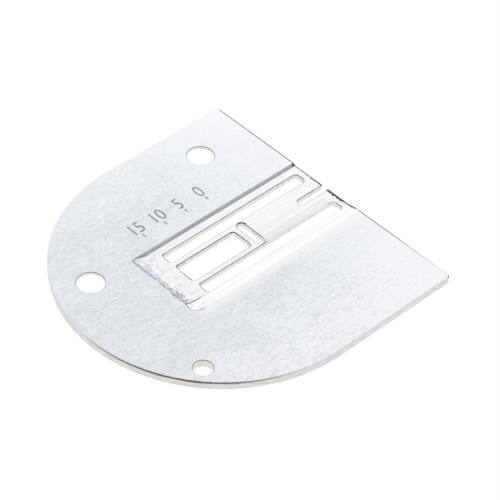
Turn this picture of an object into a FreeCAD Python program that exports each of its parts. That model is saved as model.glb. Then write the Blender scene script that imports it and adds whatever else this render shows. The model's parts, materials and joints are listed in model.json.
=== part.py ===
"""Needle plate of a sewing machine, cut, milled and drilled from one piece of flat steel.

The plate lies flat on its underside. X runs across the feed, Y along it towards the round
rear end, and Z up. Sizes are in millimetres. Places in the sheet are measured from the centre
of the round end, and the finished body is shifted so that its origin is the middle of its
underside.
"""
import FreeCAD, Part
import Sketcher
import os

DRIVING_SIZES = {
    # blank
    "plate_width": 60.0,
    "straight_length": 27.5,
    "plate_thickness": 1.5,
    "front_corner": 0.8,
    "edge_break": 0.12,
    # channel milled in the top, open at the straight front edge
    "feed_line": 1.35,
    "channel_depth": 0.5,
    "channel_rear": 12.15,
    "wall_reach": 8.25,
    "wall_run": 0.47,
    "wall_corner": 0.5,
    "bevel_reach": 8.8,
    "bevel_run": 3.0,
    "bevel_corner": 1.2,
    "ramp_run": 2.4,
    # long slots on both sides of the tongue, for the outer rows of teeth
    "tongue_width": 7.06,
    "slot_width": 2.58,
    "slot_rear": 6.83,
    "slot_front_land": 1.43,
    "slot_corner": 0.8,
    # middle opening, for the short row of teeth, with a bar left at each side of it
    "bar_width": 1.13,
    "opening_corner": 0.7,
    # needle slot, across the tongue, with a bridge behind it and a land at each end
    "needle_line": 8.95,
    "needle_slot_length": 1.65,
    "needle_slot_corner": 0.7,
    "bridge": 1.15,
    "land": 0.33,
    "rim_round": 0.15,
    # thread notch, open at the straight front edge
    "notch_width": 1.56,
    "notch_length": 6.6,
    "notch_corner": 0.6,
    "notch_mouth": 0.3,
    # shallow facet along one side of the tongue between the slots
    "facet_width": 1.7,
    "facet_drop": 0.12,
    # large holes, each relieved from below so that a thin lip is left
    "large_hole": 5.15,
    "lip": 0.6,
    "relief": 7.4,
    "front_hole_side_margin": 7.85,
    "front_hole_edge_margin": 11.65,
    "rear_hole_rim_margin": 6.82,
    "rear_hole_angle": 25.75,
    # small plain hole
    "small_hole": 3.6,
    "small_hole_rim_margin": 3.26,
    "small_hole_angle": 41.6,
    # how far a cutting outline runs past the edge that it opens
    "overrun": 2.0,
}

# places that several features share, measured from the feed line or from the round end's centre
SLOT_NEAR = "sizes.tongue_width / 2"
SLOT_FAR = "(sizes.tongue_width / 2 + sizes.slot_width)"
SLOT_FRONT = "(sizes.slot_front_land - sizes.straight_length)"
FLOOR_LEVEL = "(sizes.plate_thickness - sizes.channel_depth)"
NEEDLE_SLOT_REAR = "(sizes.needle_slot_length / 2 - sizes.needle_line)"
NEEDLE_SLOT_FRONT = "(-sizes.needle_slot_length / 2 - sizes.needle_line)"
OPENING_HALF_WIDTH = "(sizes.tongue_width / 2 - sizes.bar_width)"
NEEDLE_SLOT_HALF_WIDTH = "(sizes.tongue_width / 2 - sizes.land)"
LARGE_HOLE_CENTRES = {
    "front": (
        "sizes.plate_width / 2 - sizes.front_hole_side_margin",
        "sizes.front_hole_edge_margin - sizes.straight_length",
    ),
    "rear": (
        "(sizes.plate_width / 2 - sizes.rear_hole_rim_margin) * sin(sizes.rear_hole_angle * 1deg)",
        "(sizes.plate_width / 2 - sizes.rear_hole_rim_margin) * cos(sizes.rear_hole_angle * 1deg)",
    ),
}
SMALL_HOLE_CENTRES = {
    "small": (
        "(sizes.small_hole_rim_margin - sizes.plate_width / 2) * sin(sizes.small_hole_angle * 1deg)",
        "(sizes.plate_width / 2 - sizes.small_hole_rim_margin) * cos(sizes.small_hole_angle * 1deg)",
    ),
}

SMALLEST_CUT = 0.01
SAME_PLACE = 1e-4
ORIGIN = (-1, 1)
START, END, CENTRE = 1, 2, 3


def make_sheet(document):
    sheet = document.addObject("Spreadsheet::Sheet", "sizes")
    for row, (alias, value) in enumerate(DRIVING_SIZES.items(), start=1):
        sheet.set(f"A{row}", alias)
        sheet.set(f"B{row}", str(value))
        sheet.setAlias(f"B{row}", alias)
    document.recompute()
    return sheet


def make_sketch(body, name, role, shift=None):
    """A sketch on one of the body's own planes, moved by an expression for each given axis."""
    sketch = body.newObject("Sketcher::SketchObject", name)
    plane = next(item for item in body.Origin.OriginFeatures if item.Role == role)
    sketch.AttachmentSupport = [(plane, "")]
    sketch.MapMode = "FlatFace"
    for axis, expression in (shift or {}).items():
        sketch.setExpression(f".AttachmentOffset.Base.{axis}", expression)
    return sketch


def bind(sketch, name, expression, kind, *points):
    """A named dimension whose value follows the sheet."""
    value = float(sketch.evalExpression(expression))
    index = sketch.addConstraint(Sketcher.Constraint(kind, *points, value))
    sketch.renameConstraint(index, name)
    sketch.setExpression(f"Constraints.{name}", expression)


def draw_outline(sketch, corners):
    """A closed outline of lines along the sketch's axes, through the named corners in order.

    Each corner is name: (x, y) or name: (x, y, radius), as expressions. A corner with a
    radius is rounded by an arc tangent to both of its lines.
    """
    names = list(corners)
    points = []
    radii = []
    for x, y, *radius in corners.values():
        points.append(FreeCAD.Vector(sketch.evalExpression(x), sketch.evalExpression(y), 0))
        radii.append(sketch.evalExpression(radius[0]) if radius else 0)

    arrivals = []
    departures = []
    for index, corner in enumerate(points):
        back = (points[index - 1] - corner).normalize() * radii[index]
        ahead = (points[(index + 1) % len(points)] - corner).normalize() * radii[index]
        arrivals.append(corner + back)
        departures.append(corner + ahead)

    lines = []
    for index, start in enumerate(departures):
        end = arrivals[(index + 1) % len(points)]
        lines.append(sketch.addGeometry(Part.LineSegment(start, end), False))
        upright = abs(end.x - start.x) < abs(end.y - start.y)
        sketch.addConstraint(Sketcher.Constraint("Vertical" if upright else "Horizontal", lines[-1]))
        place = corners[names[index]][0 if upright else 1]
        kind = "DistanceX" if upright else "DistanceY"
        bind(sketch, f"{names[index]}_onward", place, kind, *ORIGIN, lines[-1], START)

    for index, corner in enumerate(points):
        before, after = lines[index - 1], lines[index]
        if not radii[index]:
            sketch.addConstraint(Sketcher.Constraint("Coincident", before, END, after, START))
            continue
        centre = arrivals[index] + departures[index] - corner
        middle = centre + (corner - centre).normalize() * radii[index]
        arc = sketch.addGeometry(Part.Arc(arrivals[index], middle, departures[index]), False)
        first, last = START, END
        if sketch.getPoint(arc, START).distanceToPoint(arrivals[index]) > SAME_PLACE:
            first, last = END, START
        sketch.addConstraint(Sketcher.Constraint("Tangent", before, END, arc, first))
        sketch.addConstraint(Sketcher.Constraint("Tangent", after, START, arc, last))
        bind(sketch, f"{names[index]}_radius", corners[names[index]][2], "Radius", arc)


def draw_rectangle(sketch, left, right, front, rear, radius):
    """A rectangle with equal round corners, between four places given as expressions."""
    draw_outline(sketch, {
        "left_front": (left, front, radius),
        "right_front": (right, front, radius),
        "right_rear": (right, rear, radius),
        "left_rear": (left, rear, radius),
    })


def draw_circles(sketch, diameter, centres):
    """Equal circles, each centre given as name: (x, y) in expressions."""
    for name, (x, y) in centres.items():
        centre = FreeCAD.Vector(sketch.evalExpression(x), sketch.evalExpression(y), 0)
        radius = sketch.evalExpression(diameter) / 2
        circle = sketch.addGeometry(Part.Circle(centre, FreeCAD.Vector(0, 0, 1), radius), False)
        bind(sketch, f"{name}_across", x, "DistanceX", *ORIGIN, circle, CENTRE)
        bind(sketch, f"{name}_along", y, "DistanceY", *ORIGIN, circle, CENTRE)
        bind(sketch, f"{name}_diameter", diameter, "Diameter", circle)


def check_cut(body, feature, volume_before):
    """Recompute, and stop if the feature took nothing away."""
    body.Document.recompute()
    if volume_before - feature.Shape.Volume < SMALLEST_CUT:
        raise RuntimeError(f"{feature.Name} cuts nothing")


def cut_through(body, sketch, name):
    """Cut a sketch of the underside up through the whole plate."""
    volume_before = body.Shape.Volume
    pocket = body.newObject("PartDesign::Pocket", name)
    pocket.Profile = sketch
    pocket.Type = "ThroughAll"
    pocket.Reversed = True
    check_cut(body, pocket, volume_before)
    return pocket


def add_blank(body):
    """The flat blank: a half circle at the rear, straight sides, and a straight front edge."""
    sketch = make_sketch(body, "blank_outline", "XY_Plane")
    half = sketch.evalExpression("sizes.plate_width / 2")
    front = sketch.evalExpression("-sizes.straight_length")
    corner = sketch.evalExpression("sizes.front_corner")
    middle = corner / 2 ** 0.5
    vector = FreeCAD.Vector

    rear_arc = sketch.addGeometry(
        Part.Arc(vector(half, 0, 0), vector(0, half, 0), vector(-half, 0, 0)), False)
    left_side = sketch.addGeometry(
        Part.LineSegment(vector(-half, 0, 0), vector(-half, front + corner, 0)), False)
    left_corner = sketch.addGeometry(Part.Arc(
        vector(-half, front + corner, 0),
        vector(-half + corner - middle, front + corner - middle, 0),
        vector(-half + corner, front, 0)), False)
    front_edge = sketch.addGeometry(
        Part.LineSegment(vector(-half + corner, front, 0), vector(half - corner, front, 0)), False)
    right_corner = sketch.addGeometry(Part.Arc(
        vector(half - corner, front, 0),
        vector(half - corner + middle, front + corner - middle, 0),
        vector(half, front + corner, 0)), False)
    right_side = sketch.addGeometry(
        Part.LineSegment(vector(half, front + corner, 0), vector(half, 0, 0)), False)

    outline = (rear_arc, left_side, left_corner, front_edge, right_corner, right_side)
    for index, piece in enumerate(outline):
        following = outline[(index + 1) % len(outline)]
        sketch.addConstraint(Sketcher.Constraint("Tangent", piece, END, following, START))
    for side in (left_side, right_side):
        sketch.addConstraint(Sketcher.Constraint("Vertical", side))
    sketch.addConstraint(Sketcher.Constraint("Horizontal", front_edge))
    sketch.addConstraint(Sketcher.Constraint("Coincident", rear_arc, CENTRE, *ORIGIN))
    sketch.addConstraint(Sketcher.Constraint("Equal", left_corner, right_corner))
    bind(sketch, "rear_radius", "sizes.plate_width / 2", "Radius", rear_arc)
    bind(sketch, "corner_radius", "sizes.front_corner", "Radius", left_corner)
    bind(sketch, "front_place", "-sizes.straight_length", "DistanceY", *ORIGIN, front_edge, START)

    pad = body.newObject("PartDesign::Pad", "blank")
    pad.Profile = sketch
    pad.setExpression("Length", "sizes.plate_thickness")
    body.Document.recompute()
    return pad


def break_edges(body, blank):
    """A small bevel round the top and bottom rim, as left by tumbling after the stamping."""
    thickness = body.evalExpression("sizes.plate_thickness")
    rim = [
        f"Edge{number}"
        for number, edge in enumerate(blank.Shape.Edges, start=1)
        if edge.BoundBox.ZLength < SAME_PLACE
        and min(abs(edge.BoundBox.ZMin), abs(edge.BoundBox.ZMin - thickness)) < SAME_PLACE
    ]
    volume_before = body.Shape.Volume
    bevel = body.newObject("PartDesign::Chamfer", "edge_break")
    bevel.Base = (blank, rim)
    bevel.setExpression("Size", "sizes.edge_break")
    check_cut(body, bevel, volume_before)


def cut_channel(body):
    """The milled channel, lofted from its outline in the top face down to its floor.

    One side is a steep wall, the other a wide shallow bevel, the rear end a ramp, and the
    front is open.
    """
    wall = "sizes.feed_line + sizes.wall_reach"
    bevel = "sizes.feed_line - sizes.bevel_reach"
    front = "-sizes.straight_length - sizes.overrun"
    top = make_sketch(body, "channel_mouth", "XY_Plane", {"z": "sizes.plate_thickness"})
    draw_outline(top, {
        "bevel_front": (bevel, front),
        "wall_front": (wall, front),
        "wall_rear": (wall, "sizes.channel_rear", "sizes.wall_corner"),
        "bevel_rear": (bevel, "sizes.channel_rear", "sizes.bevel_corner"),
    })
    floor = make_sketch(body, "channel_floor", "XY_Plane", {"z": FLOOR_LEVEL})
    floor_wall = f"{wall} - sizes.wall_run"
    floor_bevel = f"{bevel} + sizes.bevel_run"
    floor_rear = "sizes.channel_rear - sizes.ramp_run"
    draw_outline(floor, {
        "bevel_front": (floor_bevel, front),
        "wall_front": (floor_wall, front),
        "wall_rear": (floor_wall, floor_rear, "sizes.wall_corner"),
        "bevel_rear": (floor_bevel, floor_rear, "sizes.bevel_corner"),
    })
    volume_before = body.Shape.Volume
    body.Document.recompute()
    channel = body.newObject("PartDesign::SubtractiveLoft", "channel")
    channel.Profile = top
    channel.Sections = [floor]
    channel.Ruled = True
    check_cut(body, channel, volume_before)


def cut_side_slots(body):
    """One long slot beside the tongue, and its mirror image on the other side."""
    sketch = make_sketch(body, "slot_outline", "XY_Plane", {"x": "sizes.feed_line"})
    draw_rectangle(
        sketch, SLOT_NEAR, SLOT_FAR, SLOT_FRONT, "sizes.slot_rear", "sizes.slot_corner")
    slot = cut_through(body, sketch, "side_slot")
    volume_before = slot.Shape.Volume
    pair = body.newObject("PartDesign::Mirrored", "side_slot_pair")
    pair.Originals = [slot]
    pair.MirrorPlane = (sketch, ["V_Axis"])
    body.Tip = pair
    check_cut(body, pair, volume_before)


def cut_middle_opening(body):
    """The opening for the middle teeth, level with the rear ends of the side slots."""
    sketch = make_sketch(body, "opening_outline", "XY_Plane", {"x": "sizes.feed_line"})
    draw_rectangle(
        sketch,
        f"-{OPENING_HALF_WIDTH}",
        OPENING_HALF_WIDTH,
        f"{NEEDLE_SLOT_REAR} + sizes.bridge",
        "sizes.slot_rear",
        "sizes.opening_corner",
    )
    cut_through(body, sketch, "middle_opening")


def cut_needle_slot(body):
    """The slot that the needle swings in, between two thin lands."""
    sketch = make_sketch(body, "needle_slot_outline", "XY_Plane", {"x": "sizes.feed_line"})
    draw_rectangle(
        sketch,
        f"-{NEEDLE_SLOT_HALF_WIDTH}",
        NEEDLE_SLOT_HALF_WIDTH,
        NEEDLE_SLOT_FRONT,
        NEEDLE_SLOT_REAR,
        "sizes.needle_slot_corner",
    )
    return cut_through(body, sketch, "needle_slot")


def round_thread_rims(body, needle_slot):
    """Round the upper rims of the needle slot and the middle opening, where thread slides."""
    floor = body.evalExpression(FLOOR_LEVEL)
    centre = body.evalExpression("sizes.feed_line")
    half_width = body.evalExpression(NEEDLE_SLOT_HALF_WIDTH)
    front = body.evalExpression(NEEDLE_SLOT_FRONT)
    rear = body.evalExpression("sizes.slot_rear")
    rims = []
    for number, edge in enumerate(needle_slot.Shape.Edges, start=1):
        box = edge.BoundBox
        level = abs(box.ZMin - floor) < SAME_PLACE and box.ZLength < SAME_PLACE
        inside = max(box.XMax - centre, centre - box.XMin) < half_width + SAME_PLACE
        between = box.YMin > front - SAME_PLACE and box.YMax < rear + SAME_PLACE
        if level and inside and between:
            rims.append(f"Edge{number}")
    volume_before = body.Shape.Volume
    rounding = body.newObject("PartDesign::Fillet", "thread_rims")
    rounding.Base = (needle_slot, rims)
    rounding.setExpression("Radius", "sizes.rim_round")
    check_cut(body, rounding, volume_before)


def cut_thread_notch(body):
    """A narrow notch from the front edge, round at its inner end and eased at its mouth."""
    sketch = make_sketch(body, "notch_outline", "XY_Plane", {
        "x": "sizes.feed_line",
        "y": "-sizes.straight_length",
    })
    side = "sizes.notch_width / 2"
    eased = f"({side} + sizes.notch_mouth)"
    draw_outline(sketch, {
        "left_end": (f"-{side}", "sizes.notch_length", "sizes.notch_corner"),
        "left_mouth": (f"-{side}", "0", "sizes.notch_mouth"),
        "left_outside": (f"-{eased} - sizes.overrun", "0"),
        "left_beyond": (f"-{eased} - sizes.overrun", "-sizes.overrun"),
        "right_beyond": (f"{eased} + sizes.overrun", "-sizes.overrun"),
        "right_outside": (f"{eased} + sizes.overrun", "0"),
        "right_mouth": (side, "0", "sizes.notch_mouth"),
        "right_end": (side, "sizes.notch_length", "sizes.notch_corner"),
    })
    cut_through(body, sketch, "thread_notch")


def cut_tongue_facet(body):
    """The shallow facet that falls from the tongue's floor to the slot beside it.

    Its section is a wedge in an upright plane, run along the tongue from the needle slot to
    where the slot's front end begins to turn.
    """
    sketch = make_sketch(body, "facet_section", "XZ_Plane", {
        "x": f"sizes.feed_line - {SLOT_NEAR}",
        "y": FLOOR_LEVEL,
        "z": f"-{NEEDLE_SLOT_FRONT}",
    })
    crease = FreeCAD.Vector(sketch.evalExpression("sizes.facet_width"), 0, 0)
    edge = FreeCAD.Vector(0, sketch.evalExpression("-sizes.facet_drop"), 0)
    above = FreeCAD.Vector(0, 0, 0)
    floor_line = sketch.addGeometry(Part.LineSegment(above, crease), False)
    facet_line = sketch.addGeometry(Part.LineSegment(crease, edge), False)
    slot_line = sketch.addGeometry(Part.LineSegment(edge, above), False)
    for before, after in ((floor_line, facet_line), (facet_line, slot_line), (slot_line, floor_line)):
        sketch.addConstraint(Sketcher.Constraint("Coincident", before, END, after, START))
    sketch.addConstraint(Sketcher.Constraint("Coincident", floor_line, START, *ORIGIN))
    sketch.addConstraint(Sketcher.Constraint("Horizontal", floor_line))
    sketch.addConstraint(Sketcher.Constraint("Vertical", slot_line))
    bind(sketch, "facet_width", "sizes.facet_width", "DistanceX", *ORIGIN, facet_line, START)
    bind(sketch, "facet_drop", "-sizes.facet_drop", "DistanceY", *ORIGIN, facet_line, END)
    volume_before = body.Shape.Volume
    facet = body.newObject("PartDesign::Pocket", "tongue_facet")
    facet.Profile = sketch
    facet.Reversed = True
    facet.setExpression("Length", f"{NEEDLE_SLOT_FRONT} - {SLOT_FRONT} - sizes.slot_corner")
    check_cut(body, facet, volume_before)


def drill_holes(body):
    """Two large holes with a relief from below, and a small plain hole."""
    large = make_sketch(body, "large_hole_centres", "XY_Plane")
    draw_circles(large, "sizes.large_hole", LARGE_HOLE_CENTRES)
    cut_through(body, large, "large_holes")

    wide = make_sketch(body, "relief_centres", "XY_Plane")
    draw_circles(wide, "sizes.relief", LARGE_HOLE_CENTRES)
    volume_before = body.Shape.Volume
    reliefs = body.newObject("PartDesign::Pocket", "large_hole_reliefs")
    reliefs.Profile = wide
    reliefs.Reversed = True
    reliefs.setExpression("Length", "sizes.plate_thickness - sizes.lip")
    check_cut(body, reliefs, volume_before)

    small = make_sketch(body, "small_hole_centre", "XY_Plane")
    draw_circles(small, "sizes.small_hole", SMALL_HOLE_CENTRES)
    cut_through(body, small, "small_hole")


def make_needle_plate(document):
    body = document.addObject("PartDesign::Body", "needle_plate_body")
    body.Label = "needle_plate"
    blank = add_blank(body)
    break_edges(body, blank)
    cut_channel(body)
    cut_side_slots(body)
    cut_middle_opening(body)
    needle_slot = cut_needle_slot(body)
    round_thread_rims(body, needle_slot)
    cut_thread_notch(body)
    cut_tongue_facet(body)
    drill_holes(body)
    body.setExpression(
        ".Placement.Base.y", "(sizes.straight_length - sizes.plate_width / 2) / 2")
    document.recompute()
    return body


def check_document(document, bodies):
    for item in document.Objects:
        if "Invalid" in item.State or "Error" in item.State:
            raise RuntimeError(f"{item.Name} failed: {item.State}")
    for body in bodies:
        if body.Shape.isNull() or not body.Shape.isValid():
            raise RuntimeError(f"{body.Label} has no valid shape")
        if len(body.Shape.Solids) != 1:
            raise RuntimeError(f"{body.Label} is not one solid")


def main():
    document = FreeCAD.newDocument("NeedlePlate")
    make_sheet(document)
    bodies = [make_needle_plate(document)]
    check_document(document, bodies)
    os.makedirs("parts", exist_ok=True)
    for body in bodies:
        body.Shape.exportStep(f"parts/{body.Label}.step")
        box = body.Shape.optimalBoundingBox(False)
        print(f"{body.Label}: {body.Shape.Volume:.1f} mm3,",
              f"x {box.XMin:.3f} to {box.XMax:.3f},",
              f"y {box.YMin:.3f} to {box.YMax:.3f},",
              f"z {box.ZMin:.3f} to {box.ZMax:.3f}")


main()
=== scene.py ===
"""A sewing machine's needle plate in plated steel, modelled for its looks.

The plate lies on a white table. X runs across the feed, Y along it towards the round rear end,
and Z up. Lengths are in metres, and the plate's outline, holes and place come from the frame.
"""
import json
import math

import bmesh
import bpy
from mathutils import Matrix, Vector


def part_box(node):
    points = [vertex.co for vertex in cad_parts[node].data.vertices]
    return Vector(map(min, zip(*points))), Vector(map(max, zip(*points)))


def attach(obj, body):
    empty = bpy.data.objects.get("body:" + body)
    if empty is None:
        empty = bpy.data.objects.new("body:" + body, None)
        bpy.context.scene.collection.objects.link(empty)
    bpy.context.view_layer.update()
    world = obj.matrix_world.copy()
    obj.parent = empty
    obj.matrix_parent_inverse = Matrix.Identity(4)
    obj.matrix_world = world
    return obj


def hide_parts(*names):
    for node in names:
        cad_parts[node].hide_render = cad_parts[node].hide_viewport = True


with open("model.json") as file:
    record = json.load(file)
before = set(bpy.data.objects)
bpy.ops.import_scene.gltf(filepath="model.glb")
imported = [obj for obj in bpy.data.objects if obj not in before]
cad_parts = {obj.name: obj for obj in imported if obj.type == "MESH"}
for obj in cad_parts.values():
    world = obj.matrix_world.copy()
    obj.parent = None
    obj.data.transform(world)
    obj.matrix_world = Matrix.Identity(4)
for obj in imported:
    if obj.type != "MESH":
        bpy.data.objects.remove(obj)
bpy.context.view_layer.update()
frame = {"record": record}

bl_info = {
    "name": "Needle Plate",
    "version": (1, 0, 0),
    "blender": (4, 5, 0),
    "location": "3D Viewport > Sidebar > Needle Plate",
    "description": "Models a needle plate in plated steel, with its table, light and camera",
    "category": "Add Mesh",
}

MM = 0.001
PLATE = "needle_plate"
LOW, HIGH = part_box(PLATE)
MOUNTS = {mount["name"]: mount for mount in frame["record"]["mounts"]}
ROUND_CENTRE = HIGH.y - (HIGH.x - LOW.x) / 2
ROUND_STEPS = 288
HOLE_STEPS = 96
CORNER_STEPS = 10
RIM_STEPS = 3
# Cutters reach PAST the metal, and places closer than TINY are the same.
PAST = 1.0 * MM
TINY = 1e-6
# The upright part of a normal: below UPRIGHT a face is a wall, and above LEVEL it lies flat.
UPRIGHT = 0.05
LEVEL = 0.999
# Cuts across the ramp before it is torn, and the area that tells it from smaller faces.
RAMP_CUTS = 63
RAMP_AREA = 10 * MM * MM
# Faces that are larger than this or flatter than this are shaded flat.
FLAT_AREA = 1.0 * MM * MM
DEAD_LEVEL = 0.9999
SMOOTH_ANGLE = math.radians(40)
# The front edge and the top, in the patterns' millimetres.
FRONT = LOW.y / MM
TOP = HIGH.z / MM
# Grains of the patterns, in millimetres across the feed, along it and up.
BLOTCHES = (7.0, 9.0, 5.0)
SCRATCHES = (0.24, 2.2, 1.0)
MOTTLE = (0.32, 0.50, 1.0)
STREAKS = (0.45, 16.0, 3.0)
FINE_STREAKS = (0.16, 6.0, 3.0)
FLOOR_SMUDGES = (0.9, 0.7, 0.9)
RAMP_SMUDGES = (1.4, 0.8, 0.9)
SQUIGGLES = (1.3, 0.9, 1.0)
CRUMPLES = (0.55, 0.36, 0.5)
EDGE_WEAR = (1.6, 1.6, 0.5)
RIM_WEAR = (1.2, 1.2, 1.2)
WALL_LINES = (0.5, 6.0, 0.12)
# Where painted light makes the plating pale, and where the painted shade along the front edge fades
# out, across the feed.
PAINTED_LIGHT_LEFT = (19.0, HIGH.x / MM)
PAINTED_LIGHT_RIGHT = (-12.0, -27.0)
FRONT_SHADE_FADE = (-14.0, -27.0)


def length(name, description, millimetres):
    """A length that the user can change, given in millimetres and kept in metres."""
    return bpy.props.FloatProperty(
        name=name, description=description, default=millimetres * MM, unit="LENGTH", precision=5)


def share(name, description, value):
    return bpy.props.FloatProperty(
        name=name, description=description, default=value, min=0, max=1, subtype="FACTOR")


def angle(name, description, degrees):
    return bpy.props.FloatProperty(
        name=name, description=description, default=math.radians(degrees), unit="ROTATION")


def colour(name, description, red, green, blue):
    return bpy.props.FloatVectorProperty(
        name=name, description=description, default=(red, green, blue), size=3, min=0, max=1,
        subtype="COLOR")


class BlankSizes(bpy.types.PropertyGroup):
    """The stamped outline, beyond what the frame gives."""
    front_corner: length("Front corner", "Radius of the two front corners", 0.8)
    edge_round: length("Edge round", "Radius left on the outer rim by tumbling", 0.15)


class ChannelSizes(bpy.types.PropertyGroup):
    """The feed channel milled in the top."""
    feed_line: length("Feed line", "Middle of the feed, from the plate's middle", 1.35)
    depth: length("Depth", "Depth of the channel's floor", 0.5)
    rear: length("Rear end", "Where the ramp meets the top, from the plate's middle", 10.9)
    wall_reach: length("Wall reach", "From the feed line to the steep wall's top", 8.25)
    wall_run: length("Wall run", "Width of the steep wall seen from above", 0.47)
    wall_corner: length("Wall corner", "Corner radius between wall and ramp", 0.5)
    bevel_reach: length("Bevel reach", "From the feed line to the shallow bevel's top", 8.8)
    bevel_run: length("Bevel run", "Width of the shallow bevel seen from above", 3.0)
    bevel_corner: length("Bevel corner", "Corner radius between bevel and ramp", 1.2)
    ramp_run: length("Ramp run", "Length of the rear ramp seen from above", 2.4)
    tearing: length("Tearing", "Height of the rough tool marks on the ramp", 0.10)
    burr_height: length("Burr height", "Highest burr at the channel's open end", 0.16)

    @property
    def floor(self):
        return HIGH.z - self.depth

    @property
    def wall_foot(self):
        return self.feed_line + self.wall_reach - self.wall_run

    @property
    def bevel_top(self):
        return self.feed_line - self.bevel_reach

    @property
    def bevel_foot(self):
        return self.bevel_top + self.bevel_run

    @property
    def ramp_foot(self):
        return self.rear - self.ramp_run


class SlotSizes(bpy.types.PropertyGroup):
    """The slots, the middle opening, the needle slot and the thread notch."""
    tongue_width: length("Tongue width", "Between the two long slots", 7.06)
    slot_width: length("Slot width", "Width of a long slot", 2.58)
    slot_rear: length("Slot rear", "Rear end of the slots, from the plate's middle", 5.58)
    slot_front_land: length("Front land", "Metal left in front of a long slot", 1.43)
    slot_corner: length("Slot corner", "Corner radius of a long slot", 0.8)
    slot_rim: length("Slot rim", "Rounding of a long slot's upper rim", 0.12)
    bar_width: length("Bar width", "Bar between opening and long slot", 1.13)
    opening_corner: length("Opening corner", "Corner radius of the middle opening", 0.7)
    needle_line: length("Needle line", "Needle's line, from the plate's middle", -10.2)
    needle_slot_length: length("Needle slot length", "Needle slot along the feed", 1.65)
    needle_slot_corner: length("Needle slot corner", "Corner radius of the needle slot", 0.7)
    bridge: length("Bridge", "Bridge between needle slot and middle opening", 1.15)
    land: length("Land", "Thin land at each end of the needle slot", 0.33)
    thread_rim: length("Thread rim", "Rounding where thread slides", 0.15)
    notch_width: length("Notch width", "Width of the thread notch", 1.56)
    notch_length: length("Notch length", "Depth of the notch from the front edge", 6.6)
    notch_corner: length("Notch corner", "Corner radius at the notch's inner end", 0.6)
    notch_mouth: length("Notch mouth", "Rounding at the notch's mouth", 0.3)
    facet_width: length("Facet width", "Width of the facet beside the right slot", 1.7)
    facet_drop: length("Facet drop", "Fall of that facet at the slot", 0.15)

    @property
    def half_tongue(self):
        return self.tongue_width / 2

    @property
    def needle_front(self):
        return self.needle_line - self.needle_slot_length / 2

    @property
    def needle_rear(self):
        return self.needle_line + self.needle_slot_length / 2


class HoleSizes(bpy.types.PropertyGroup):
    """The round holes, beyond what the frame's mounts give."""
    relief: length("Relief", "Diameter of the relief under a large hole", 7.4)
    rim: length("Rim", "Rounding of a hole's upper rim", 0.10)


class ScaleSizes(bpy.types.PropertyGroup):
    """The engraved millimetre scale, which counts from the needle line."""
    count: bpy.props.IntProperty(
        name="Count", description="How many numbers there are", default=4, min=0)
    pitch: length("Pitch", "Distance between two numbers", 5.0)
    digit_height: length("Digit height", "Height of a number", 2.95)
    digit_squeeze: share("Digit squeeze", "Width of a digit as a share of the font's", 0.8)
    digit_thinning: length("Digit thinning", "Taken off each side of a stroke", 0.03)
    digit_share: share("Digit share", "Height of a digit as a share of the font's size", 0.72)
    near_side: length("Near side", "Foot of the numbers, from the plate's middle", 13.8)
    depth: length("Depth", "Depth of the engraving", 0.06)
    tick_length: length("Tick length", "Length of a mark", 0.9)
    tick_width: length("Tick width", "Width of a mark", 0.22)
    tick_gap: length("Tick gap", "Space between mark and number", 0.45)


class FinishColours(bpy.types.PropertyGroup):
    """Colours of the steel's finishes."""
    plating: colour("Plating", "Satin plating on the top", 0.672, 0.708, 0.750)
    plating_pale: colour("Pale plating", "Lighter grain in the plating", 0.915, 0.944, 0.975)
    # Painted light: the lighter colour that the top takes at the front and both sides.
    plating_front: colour("Front plating", "Paler plating at front and sides", 0.935, 0.952, 0.978)
    milled: colour("Milled", "Milled floor of the channel", 0.955, 0.962, 0.975)
    milled_dull: colour("Dull milling", "Duller streaks in the milling", 0.800, 0.820, 0.870)
    ramp_dull: colour("Dull ramp", "Smudges on the torn ramp", 0.690, 0.715, 0.780)
    wall: colour("Steep wall", "Steep wall of the channel", 0.470, 0.490, 0.530)
    # Also the colour of the painted shade at the steep wall's foot.
    wall_dark: colour("Dark steep wall", "Rubbed lines in the steep wall", 0.310, 0.330, 0.370)
    outer_edge: colour("Outer edge", "Bare steel of the outer wall", 0.810, 0.775, 0.740)
    outer_edge_dark: colour("Dark outer edge", "Duller parts of that wall", 0.690, 0.655, 0.625)
    slot_wall: colour("Slot wall", "Walls of slots and holes", 0.865, 0.840, 0.810)
    slot_wall_dark: colour("Dark slot wall", "Duller parts of those walls", 0.730, 0.705, 0.680)
    # Near-black painted shade for the outer rim and the outer wall's top, and for the strip along
    # the top's front edge.
    outer_rim: colour("Outer rim", "Rubbed rim at the rear", 0.110, 0.110, 0.114)
    slot_rim: colour("Slot rim", "Rims of slots and holes", 0.360, 0.355, 0.350)
    slot_rim_dark: colour("Dark slot rim", "Duller parts of those rims", 0.210, 0.210, 0.212)
    # Near-black torn metal; on the burrs it also stands in for the dark reflection in their faces,
    # a painted reflection.
    torn: colour("Torn", "Dark torn metal", 0.080, 0.082, 0.090)
    torn_pale: colour("Pale torn", "Bluish shade in the torn ramp", 0.330, 0.360, 0.430)
    engraving: colour("Engraving", "Floor of the engraved marks", 0.250, 0.255, 0.265)


class StageSettings(bpy.types.PropertyGroup):
    """Table and light."""
    table_size: bpy.props.FloatProperty(
        name="Table size", description="Side of the square table", default=6.0, unit="LENGTH")
    own_light: share("Own light", "How much of the table's white is the same in shadow", 0.95)
    shade: share("Shade", "How much of the table's white a shadow takes away", 0.08)
    table_white: share("Table white", "White of the table where it takes light", 0.90)
    low_light: bpy.props.FloatProperty(
        name="Low light", description="Light from low on every side but the camera's", default=1.0)
    lamp_light: bpy.props.FloatProperty(
        name="Lamp light", description="Light from halfway up", default=1.18)
    high_light: bpy.props.FloatProperty(
        name="High light", description="Light from above", default=0.75)
    room_light: share("Room light", "Light from the room behind the camera", 0.62)
    room_turn: angle("Room turn", "Turn of the room's middle from the camera", 15)
    room_core: angle("Room core", "From the room's middle to where it starts to fade", 25)
    room_width: angle("Room width", "From the room's middle to where it has faded", 65)


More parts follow.
